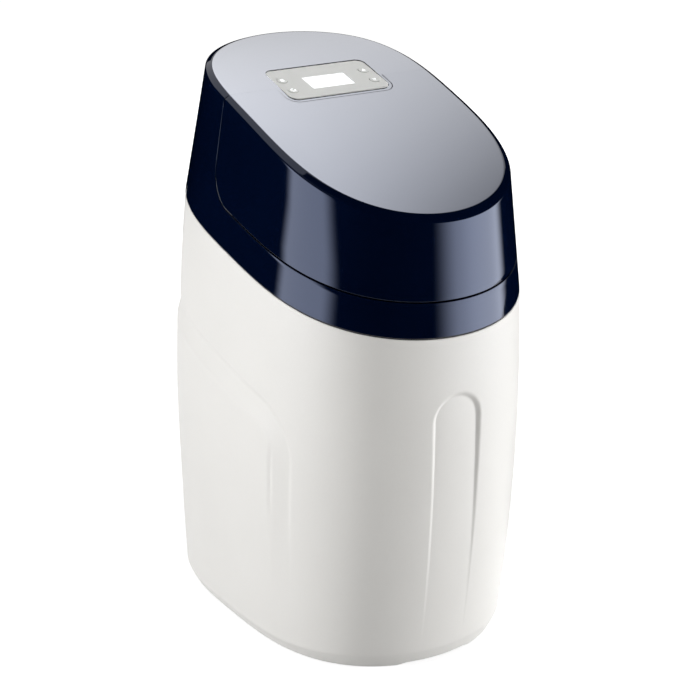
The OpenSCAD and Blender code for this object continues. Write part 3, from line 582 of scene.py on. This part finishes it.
def cover_outside(dip):
    """Outside of the whole cover: rings from the rim up the wall, over the bevel and in across the top.

    Every wall line is straight and leans in. The bevel's two edges are rounded with quadratic curves, and the
    top's rings shrink towards the middle of the panel, where the cover is open. The dip is the slope with
    which the top turns down from the seam, by a fraction of a millimetre that dies out over 60 mm.
    """
    px, py, nx, ny = oval(stations(lambda x, y: 2.6 + 2.0 * np.clip((110 - np.abs(y)) / 40, 0, 1)))
    rim = RIM_H + RIM_SLOPE * py
    lean = np.where(ny < 0, COVER_LEAN, COVER_LEAN + BACK_LEAN * ny**2)

    def wall(z, inset):
        """Plan of the leaning wall at a height, moved in by an inset."""
        off = -lean * np.maximum(z - rim, 0) - inset
        return px + off * nx, py + off * ny

    edge_z = np.full_like(px, TOP_MID)
    for _ in range(8):
        edge_z = top_z(wall(edge_z, 0)[1]) - BEVEL_DROP
    edge = np.stack([*wall(edge_z, 0), edge_z], -1)
    foot = np.stack([*wall(rim + COVER_FOOT, 0), rim + COVER_FOOT], -1)
    x, y = wall(edge_z, BEVEL_W)
    crown = np.stack([x, y, top_z(y)], -1)
    x, y = wall(edge_z, BEVEL_W + 1.3)
    start = np.stack([x, y, top_z(y)], -1)

    def unit(v):
        """Directions brought to length one."""
        return v / np.linalg.norm(v, axis=-1, keepdims=True)

    def curve(a, b, c):
        """Quadratic curve from a to c that leaves and arrives along its way to b."""
        t = np.linspace(0, 1, 6)[:, None, None]
        return (1 - t) ** 2 * a + 2 * t * (1 - t) * b + t * t * c

    up, slope = unit(edge - foot), unit(crown - edge)
    shoulder = edge - 1.4 * up
    climb = np.array([0, 0.012, 0.04, 0.12, 0.25, 0.4, 0.55, 0.7, 0.84, 0.94, 0.985])[:, None, None]
    rows = [foot + (shoulder - foot) * climb, curve(shoulder, edge, edge + 1.4 * slope),
            (0.5 * (edge + crown))[None], curve(crown - 1.1 * slope, crown, start)]
    shrink = np.concatenate([[0.985, 0.96], np.linspace(0.92, 0.1, 22)])[:, None]
    x, y = start[:, 0] * shrink, PANEL_Y + (start[:, 1] - PANEL_Y) * shrink
    grid = np.concatenate([*rows, np.stack([x, y, top_z(y)], -1)])
    ahead = np.maximum(SEAM_Y - grid[..., 1], 0)
    grid[..., 2] -= dip * ahead * np.exp(-ahead / 60) * smooth((grid[..., 2] - top_z(grid[..., 1]) + 4) / 4)
    return grid.reshape(-1, 3), ring_faces(*grid.shape[:2])


def rounded_sides(wide, deep, radius):
    """Outward directions and touching places of a rounded rectangle's sides and corner tangents."""
    turn = np.radians(np.arange(0, 360, 10.0))
    way = np.stack([np.cos(turn), np.sin(turn)], -1)
    corner = np.where(np.abs(way) < 1e-9, 0, np.sign(way))
    centre = corner * np.array([wide / 2 - radius, deep / 2 - radius])
    return way, centre + radius * way


def seam_sides(side, further=0.0):
    """Planes that bound the lid seen from the side: sloping lower seam, round corner and rear seam.

    The side is 1 for the rear cover's edge and -1 for the lid's. Each plane stands half the gap off the seam,
    and further where asked. The rear seam closes tighter than the lower one.
    """
    turn = math.atan(SEAM_SLOPE)
    grow = side * (SEAM_GAP / 2 + further)
    y = SEAM_Y + grow
    low = SEAM_LOW - grow / math.cos(turn)
    middle = np.array([y - SEAM_R, low + SEAM_SLOPE * (y - SEAM_R) + SEAM_R / math.cos(turn)])
    angle = np.linspace(turn - math.pi / 2, 0, 25)
    way = np.stack([np.zeros(25), np.cos(angle), np.sin(angle)], -1)
    at = np.stack([np.zeros(25), middle[0] + SEAM_R * way[:, 1], middle[1] + SEAM_R * way[:, 2]], -1)
    at[-1, 1] = SEAM_Y + side * (TOP_GAP / 2 + further)
    return way, at


def tongue_sides(side):
    """Planes that bound the tongue seen from above: wider than the panel, with a gap at the right."""
    front = PANEL_Y - (PANEL_D / 2 + TONGUE_RIM) * math.cos(PANEL_TILT)
    grow = side * TOP_GAP / 2
    edge = TONGUE_RIM + grow
    way, at = rounded_sides(PANEL_W + 2 * edge, TONGUE_REACH + 2 * grow, PANEL_R + edge)
    at[:, 0] += side * TONGUE_GAP * (way[:, 0] > 0.3)
    keep = way[:, 1] < 1e-9
    flat = np.zeros((keep.sum(), 1))
    return np.hstack([way[keep], flat]), np.hstack([at[keep] + [0, front + TONGUE_REACH / 2], flat])


def panel_sides():
    """Planes that bound the panel's opening, upright to the tilted panel and shifted right and back."""
    way, at = rounded_sides(PANEL_W + 0.5, PANEL_D + 0.5, PANEL_R + 0.2)
    at = at + PANEL_SHIFT
    lie = np.array([[1, 0, 0], [0, math.cos(PANEL_TILT), math.sin(PANEL_TILT)]])
    return way @ lie, at @ lie + [0, PANEL_Y, top_z(PANEL_Y)]


def port_sides():
    """Planes that bound the pipes' opening in the back wall, with a last plane that keeps to the back."""
    way, at = rounded_sides(116, 42, 10)
    stand = np.array([[1, 0, 0], [0, 0, 1]])
    return (np.vstack([way @ stand, [0, -1, 0]]), np.vstack([at @ stand + [0, 0, PORT_Z], [0, 90, 0]]))


def within(centres, sides):
    """True for the places that lie behind every plane of a region."""
    way, at = sides
    return np.all(centres @ way.T < np.sum(way * at, -1), -1)


def ease_seam(mesh, sides):
    """Turn the skin's edge in along the seam, and keep its other open edges crisp.

    A place is on the seam where its largest distance beyond the seam's planes is nil. It moves in against its
    own facing by the depth of the turn. An edge is open where only one face uses it.
    """
    places = np.empty(3 * len(mesh.vertices))
    mesh.vertices.foreach_get("co", places)
    places = places.reshape(-1, 3)
    facing = np.empty(3 * len(mesh.vertices))
    mesh.vertices.foreach_get("normal", facing)
    way, at = sides
    beyond = np.max(1000 * places @ way.T - np.sum(way * at, -1), -1)
    turned = (np.abs(beyond) < 0.05) & (1000 * places[:, 2] < top_z(1000 * places[:, 1]) - 0.6)
    places[turned] -= 0.001 * SEAM_TURN * facing.reshape(-1, 3)[turned]
    mesh.vertices.foreach_set("co", places.ravel())
    ends = np.empty(2 * len(mesh.edges), np.int32)
    mesh.edges.foreach_get("vertices", ends)
    used = np.empty(len(mesh.loops), np.int32)
    mesh.loops.foreach_get("edge_index", used)
    is_open = np.bincount(used, minlength=len(mesh.edges)) == 1
    mesh.edges.foreach_set("use_edge_sharp", is_open & ~turned[ends.reshape(-1, 2)].all(1))
    mesh.update()


def cut_cover(name, dip, regions, keep):
    """Piece of the cover: the outside is scored along each region's planes and the faces to keep are left.

    Only the faces within SCORE_REACH of a region are scored. The first region is the seam that is eased.
    """
    points, faces = cover_outside(dip)
    raw = bpy.data.meshes.new(name)
    raw.from_pydata(points.tolist(), [], faces.tolist())
    bm = bmesh.new()
    bm.from_mesh(raw)
    bpy.data.meshes.remove(raw)
    for way, at in regions:
        centres = np.array([f.calc_center_median() for f in bm.faces])
        beyond = np.max(centres @ way.T - np.sum(way * at, -1), -1)
        bm.faces.ensure_lookup_table()
        parts = set()
        for i in np.flatnonzero(np.abs(beyond) < SCORE_REACH):
            parts.update([bm.faces[i], *bm.faces[i].edges, *bm.faces[i].verts])
        parts = list(parts)
        for normal, place in zip(way, at):
            parts = bmesh.ops.bisect_plane(bm, geom=parts, dist=1e-5, plane_co=place, plane_no=normal)["geom"]
    centres = np.array([f.calc_center_median() for f in bm.faces])
    kept = keep(centres)
    bm.faces.ensure_lookup_table()
    bmesh.ops.delete(bm, geom=[bm.faces[i] for i in np.flatnonzero(~kept)], context="FACES")
    bmesh.ops.remove_doubles(bm, verts=bm.verts, dist=2e-4)
    bmesh.ops.recalc_face_normals(bm, faces=bm.faces)
    middle = np.mean([f.normal.z for f in bm.faces if f.normal.z * f.normal.z > 0.8])
    if middle < 0:
        bmesh.ops.reverse_faces(bm, faces=bm.faces)
    bmesh.ops.scale(bm, vec=(0.001, 0.001, 0.001), verts=bm.verts)
    mesh = bpy.data.meshes.new(name)
    bm.to_mesh(mesh)
    bm.free()
    mesh.polygons.foreach_set("use_smooth", np.ones(len(mesh.polygons), bool))
    ease_seam(mesh, regions[0])
    cover = bpy.data.objects.new(name, mesh)
    bpy.context.scene.collection.objects.link(cover)
    skin = cover.modifiers.new("skin", "SOLIDIFY")
    skin.thickness = COVER_T * 0.001
    skin.offset = -1
    skin.use_even_offset = True
    even = cover.modifiers.new("even", "WEIGHTED_NORMAL")
    even.keep_sharp = True
    return cover


navy_gloss, shader, spot = finish("navy_gloss", IOR=1.52, Specular_Tint=(0.72, 0.79, 1.0, 1.0))
haze = spot.noise(16.0, 2.0)
haze.between((0.0004, 0.0024, 0.012), (0.0008, 0.0036, 0.017)).to(shader, "Base Color")
(0.03 + 0.025 * haze + 0.01 * spot.noise(600.0, 1.0)).to(shader, "Roughness")
spot.noise(90.0, 1.0).bumps(0.012, 0.0004).to(shader, "Normal")

lid_seam = seam_sides(-1)
lid_score = seam_sides(-1, TURN_W)
lid_tongue = tongue_sides(1)
salt_lid = cut_cover("salt_lid_shell", LID_DIP, [lid_seam, lid_score, lid_tongue],
                     lambda c: within(c, lid_seam) & ~within(c, lid_tongue))
put_on(salt_lid, "lid", "navy_gloss", navy_gloss, "salt_lid")

rear_seam = seam_sides(1)
rear_score = seam_sides(1, TURN_W)
rear_tongue = tongue_sides(-1)
panel_hole = panel_sides()
port_hole = port_sides()


def of_rear_cover(centres):
    """True for the places beyond the lid's seam or on the tongue, and in neither opening."""
    body = ~within(centres, rear_seam) | within(centres, rear_tongue)
    return body & ~within(centres, panel_hole) & ~within(centres, port_hole)


rear_cover = cut_cover("rear_cover_shell", 0.0, [rear_seam, rear_score, rear_tongue, panel_hole, port_hole],
                       of_rear_cover)
put_on(rear_cover, "cabinet", "navy_gloss", navy_gloss, "rear_cover")


def locating_lip_and_shade_band():
    """Lip below the rear cover that drops into the cabinet rim: a closed profile carried round the oval.
    Its outer step in dark matt plastic fills the gap under the cover's foot as a painted shadow line.
    """
    px, py, nx, ny = (v[None] for v in oval(stations(lambda x, y: np.full_like(x, 5.0))))
    # Painted shade: the step from 0.1 to 2.4 mm up, 0.7 mm in, stands in dark matt plastic where the gap
    # under the cover's foot is in shadow
    rise = np.array([9.5, 0, -10, -10, 0.1, 0.1, 2.4, 9.5])[:, None]
    inset = np.array([3.2, 6.0, 6.0, 3.8, 3.8, 0.7, 0.7, 1.5])[:, None]
    off = -COVER_LEAN * np.maximum(rise, 0) - inset
    grid = np.stack([px + off * nx, py + off * ny, RIM_H + RIM_SLOPE * py + rise], -1)
    return piece("rear_cover_lip_and_shade_band", grid.reshape(-1, 3), ring_faces(*grid.shape[:2])[:, ::-1].tolist())


put_on(locating_lip_and_shade_band(), "cabinet", "dark_plastic", dark_plastic)

# Control panel
# A light grey plate let into the cover's tongue, a little flatter than the top so that its front edge stands
# proud. A white display shines through its middle, and two round keys sit at each end.
panel_grey, shader, spot = finish("panel_grey", IOR=1.47)
speck = spot.noise(900.0, 2.0)
speck.between((0.66, 0.67, 0.65), (0.72, 0.73, 0.71)).to(shader, "Base Color")
(0.42 + 0.12 * speck).to(shader, "Roughness")
spot.noise(2200.0, 1.0).bumps(0.05, 0.0002).to(shader, "Normal")
eased("control_panel", 0.0018, "cabinet", "panel_grey", panel_grey, 4)

display, shader, spot = finish("display", IOR=1.5, Roughness=0.12, Emission_Strength=0.3)
lines = spot.node("ShaderNodeTexWave", {"bands_direction": "X"}, {"Vector": spot, "Scale": 700.0})
(0.7 + 0.3 * lines).between((0.80, 0.82, 0.83), (0.87, 0.88, 0.89)).to(shader, "Base Color")
spot.noise(60.0, 1.0).between((0.90, 0.93, 1.0), (1.0, 1.0, 1.0)).to(shader, "Emission Color")
eased("display_window", 0.0003, "cabinet", "display", display)

key_white, shader, spot = finish("key_white", IOR=1.47)
speck = spot.noise(1100.0, 2.0)
speck.between((0.62, 0.63, 0.61), (0.68, 0.69, 0.67)).to(shader, "Base Color")
(0.38 + 0.1 * speck).to(shader, "Roughness")
for name in ("menu_key", "regen_key", "up_key", "down_key"):
    eased(name, 0.0004, name, "key_white", key_white, 3)


def on_panel(flat, height):
    """Places on the panel: across, along the slope and above it."""
    c, s = math.cos(PANEL_TILT), math.sin(PANEL_TILT)
    return np.stack([flat[..., 0], PANEL_Y + flat[..., 1] * c - height * s,
                     top_z(PANEL_Y) + flat[..., 1] * s + height * c], -1)


def open_faces(rows, count):
    """Four-sided faces of a grid whose rows stay open."""
    low = np.arange(rows - 1)[:, None] * count
    here = np.arange(count - 1)[None]
    ahead = low + count
    return np.stack([low + here, low + here + 1, ahead + here + 1, ahead + here], -1).reshape(-1, 4)


def mark(path, width):
    """Raised mark on a key: a flat-topped ridge carried along a path, half its width to each side."""
    path = np.asarray(path, float)
    run = np.gradient(path, axis=0)
    run /= np.linalg.norm(run, axis=-1, keepdims=True)
    side = np.stack([-run[:, 1], run[:, 0]], -1) * np.broadcast_to(width, len(path))[:, None] / 2
    rows = np.stack([path + side, path + side, path - side, path - side])
    height = np.array([0.45, 0.62, 0.62, 0.45])[:, None] * np.ones(len(path))
    points = on_panel(rows, height).reshape(-1, 3)
    count = len(path)
    caps = [[0, count, 2 * count, 3 * count], [4 * count - 1, 3 * count - 1, 2 * count - 1, count - 1]]
    return points, open_faces(4, count).tolist() + caps


def key_marks(name, middle, strokes):
    """All the strokes of one key's mark as one piece that moves with the key."""
    points, faces, seen = [], [], 0
    for path, width in strokes:
        p, f = mark(np.asarray(path) + middle, width)
        points.append(p)
        faces += (np.array(f) + seen).tolist()
        seen += len(p)
    thing = piece(name + "_mark", np.concatenate(points), faces)
    put_on(thing, name, "key_white", glowing_mark_white)


# The keys' marks carry a painted glow: their white shines a little so that it reads brighter than the lamps
# light it
glowing_mark_white, shader, spot = finish("glowing_mark_white", Roughness=0.35, Emission_Strength=0.8)
spot.noise(500.0).between((0.86, 0.87, 0.88), (0.93, 0.94, 0.95)).to(shader, "Base Color")
spot.noise(300.0).between((0.9, 0.95, 1.0), (1.0, 1.0, 1.0)).to(shader, "Emission Color")
KEY_X = 46.5
KEY_SHIFT = -2.4
KEY_REACH = 10.25
STROKE = 0.8
bar = np.linspace(-1.9, 1.9, 3)[:, None] * [1, 0]
key_marks("menu_key", [-KEY_X, KEY_SHIFT + KEY_REACH],
          [(bar + [0, 1.5], STROKE), (bar, STROKE), (bar - [0, 1.5], STROKE)])
arc = np.radians(np.linspace(60, 330, 25))
ring = 2.1 * np.stack([np.cos(arc), np.sin(arc)], -1)
tip = ring[-1] + np.linspace(0, 1.9, 4)[:, None] * [0.5, 0.87]
key_marks("regen_key", [-KEY_X, KEY_SHIFT - KEY_REACH], [(ring, STROKE), (tip, np.linspace(2.4, 0.05, 4))])
wedge = np.linspace(-1.6, 1.8, 4)[:, None] * [0, 1]
key_marks("up_key", [KEY_X, KEY_SHIFT + KEY_REACH], [(wedge, np.linspace(4.2, 0.05, 4))])
key_marks("down_key", [KEY_X, KEY_SHIFT - KEY_REACH], [(-wedge, np.linspace(4.2, 0.05, 4))])

# Studio
# A white floor and soft light from the left, the right, above and behind. A tall curved card stands round
# the object for its gloss alone: it carries the two bright strips that the navy cover mirrors, and is black
# between them.


def looked_at(shade):
    """One where the camera, gloss or glass looks, and nil for light that bounces between matt surfaces."""
    rays = ("Is Camera Ray", "Is Glossy Ray", "Is Transmission Ray")
    straight, gloss, glass = (shade.node("ShaderNodeLightPath", {}, {}, ray) for ray in rays)
    return (straight + gloss + glass) > 0.5


studio, shader, spot = finish("studio_floor", Base_Color=(0.4, 0.4, 0.4, 1), Roughness=0.9,
                              Specular_IOR_Level=0.0, Emission_Color=(1, 1, 1, 1))
away = spot.node("ShaderNodeVectorMath", {"operation": "LENGTH"}, {0: spot}, 1)
outward = away.node("ShaderNodeMapRange", {"interpolation_type": "SMOOTHSTEP"},
                    {"Value": away, "From Min": 0.25, "From Max": 0.9, "To Min": 0.8, "To Max": 1.0})
(looked_at(spot) * outward).to(shader, "Emission Strength")
reach = np.linspace(0.001, 7000, 14)[:, None]
turn = np.radians(np.arange(0, 360, 7.5))[None]
grid = np.stack([reach * np.cos(turn), reach * np.sin(turn), np.full((14, 48), -0.15)], -1)
floor = piece("floor", grid.reshape(-1, 3), ring_faces(14, 48).tolist())
floor.data.materials.append(studio)


def glowing(name, grid, glow, colour=(1, 1, 1, 1)):
    """Card that only gloss sees, from a grid of places, shining with the brightness given at each place."""
    size = grid.shape[:2]
    thing = piece(name, grid.reshape(-1, 3), open_faces(*size)[:, ::-1].tolist())
    bright = thing.data.attributes.new("bright", "FLOAT", "POINT")
    bright.data.foreach_set("value", np.broadcast_to(glow, size).ravel().astype(np.float32))
    material = bpy.data.materials.new(name)
    material.use_nodes = True
    tree = material.node_tree
    tree.nodes.remove(tree.nodes["Principled BSDF"])
    stored = tree.nodes.new("ShaderNodeAttribute")
    stored.attribute_name = "bright"
    strength = Shade(tree, stored.outputs["Fac"])
    shine = strength.node("ShaderNodeEmission", {}, {"Color": colour, "Strength": strength})
    tree.links.new(shine.socket, tree.nodes["Material Output"].inputs["Surface"])
    thing.data.materials.append(material)
    thing.visible_camera = False
    thing.visible_diffuse = False
    thing.visible_shadow = False


# Azimuth runs from the front, -Y, towards the right. Each strip is a soft step up times a soft step down, and
# the left one leans with the height.
CARD_R = 1640.0
azimuth = np.linspace(-180, 180, 721)[None]
height = np.concatenate([[0, 200], np.linspace(250, 385, 12), [420, 480, 540, 600, 1200]])[:, None]
lean = np.clip((height - 317) / 53, -1, 1)
left_strip = smooth((azimuth + 121.4 + 2.5 * lean) / 8) * smooth((-66.8 - 4.8 * lean - azimuth) / 18)
right_strip = smooth((azimuth - 11) / 21) * smooth((85 - azimuth) / 14)
right_glow = 3.7 + 1.5 * smooth((azimuth - 24) / 22) - 0.6 * smooth((azimuth - 48) / 18)
strips = (3.9 * left_strip + right_glow * right_strip) * (1 - smooth((height - 420) / 180))


def round_about(turn, height):
    """Places on an upright cylinder round the object, from azimuths in degrees and heights."""
    turn = np.radians(turn)
    return np.stack(np.broadcast_arrays(CARD_R * np.sin(turn), -CARD_R * np.cos(turn), height), -1)


glowing("strip_card", round_about(azimuth, height), strips, (0.92, 0.97, 1.1, 1))

# Black cards keep the white surroundings off the cover's front, its right end and its bevel
above = round_about(np.linspace(-150, 104, 70)[None], np.linspace(1200, 2400, 5)[:, None])
glowing("front_card", above, 0.0)
reach = np.linspace(0.15, 1, 6)[:, None, None]
below = round_about(np.linspace(77, 170, 32)[None], 0.0) * reach + [0, 0, 1.0]
glowing("floor_card", below, 0.0)
x, y = np.meshgrid(np.linspace(-1200, 2500, 9), np.linspace(-2200, 250, 9))
glowing("ceiling_card", np.stack([x, y, np.full_like(x, 2300)], -1), 0.0)

# The top mirrors one square card, whose brightness is a quadratic of its two directions in metres
toward = np.array([0.52, 0.45, 0.71])
toward /= np.linalg.norm(toward)
level = np.array([-toward[1], toward[0], 0]) / np.hypot(toward[0], toward[1])
rising = np.cross(toward, level)
u, v = np.meshgrid(np.linspace(-650, 700, 13), np.linspace(-700, 450, 13))
places = np.array([0, 0, 500]) + 2000 * toward + u[..., None] * level + v[..., None] * rising
u, v = u / 1000, v / 1000
glow = 6.4 + 7.3 * u + 7.7 * v - 4.4 * u * u + 9.5 * u * v + 5.2 * v * v
glowing("top_card", places, np.clip(glow, 1.5, 7.5))


def seen_from(azimuth, elevation):
    """Direction from the object to this azimuth and elevation, and the level direction to its right."""
    a, e = np.radians([azimuth, elevation])
    back = np.array([np.sin(a) * np.cos(e), -np.cos(a) * np.cos(e), np.sin(e)])
    return back, np.array([np.cos(a), np.sin(a), 0])


def lamp(name, azimuth, elevation, distance, wide, tall, power):
    """Soft rectangular lamp turned to the middle of the object, for matt surfaces; gloss sees the cards."""
    data = bpy.data.lights.new(name, "AREA")
    data.shape = "RECTANGLE"
    data.size = wide
    data.size_y = tall
    data.energy = power
    thing = bpy.data.objects.new(name, data)
    bpy.context.scene.collection.objects.link(thing)
    back, right = seen_from(azimuth, elevation)
    place = np.eye(4)
    place[:3] = np.stack([right, np.cross(back, right), back, back * distance + [0, 0, 0.3]], -1)
    thing.matrix_world = Matrix(place.tolist())
    thing.visible_glossy = False
    thing.visible_camera = False


lamp("left_rear_lamp", -103, 0, 2.0, 0.7, 1.2, 17.8)
lamp("left_front_lamp", -70, 0, 2.0, 0.7, 1.2, 17)
lamp("right_lamp", 50, 2, 2.0, 0.4, 1.0, 42)
lamp("high_lamp", -100, 60, 2.2, 0.8, 0.8, 15)
lamp("rear_lamp", 150, 15, 2.0, 0.8, 1.0, 16)
world = bpy.data.worlds.new("studio")
bpy.context.scene.world = world
world.use_nodes = True
seen = looked_at(Shade(world.node_tree, None))
backdrop = world.node_tree.nodes["Background"]
(seen * 0.92 + 0.08).to(backdrop, "Strength")
seen.between((1.0, 0.95, 0.9), (1, 1, 1)).to(backdrop, "Color")

# Camera of the photograph: long lens from the front left, above, with a slight roll
camera_data = bpy.data.cameras.new("camera")
camera_data.lens = 113.143
camera_data.sensor_width = 36
camera_data.clip_end = 50
camera = bpy.data.objects.new("camera", camera_data)
bpy.context.scene.collection.objects.link(camera)
back, right = seen_from(-33.989, 21.2695)
roll = math.radians(1.8675)
up = np.cross(back, right)
across = math.cos(roll) * right + math.sin(roll) * up
upward = math.cos(roll) * up - math.sin(roll) * right
stand = np.eye(4)
stand[:3] = np.stack([across, upward, back, np.array([-1.1314, -1.6876, 1.0510])], -1)
camera.matrix_world = Matrix(stand.tolist())
bpy.context.scene.camera = camera
bpy.context.scene.view_settings.view_transform = "Standard"
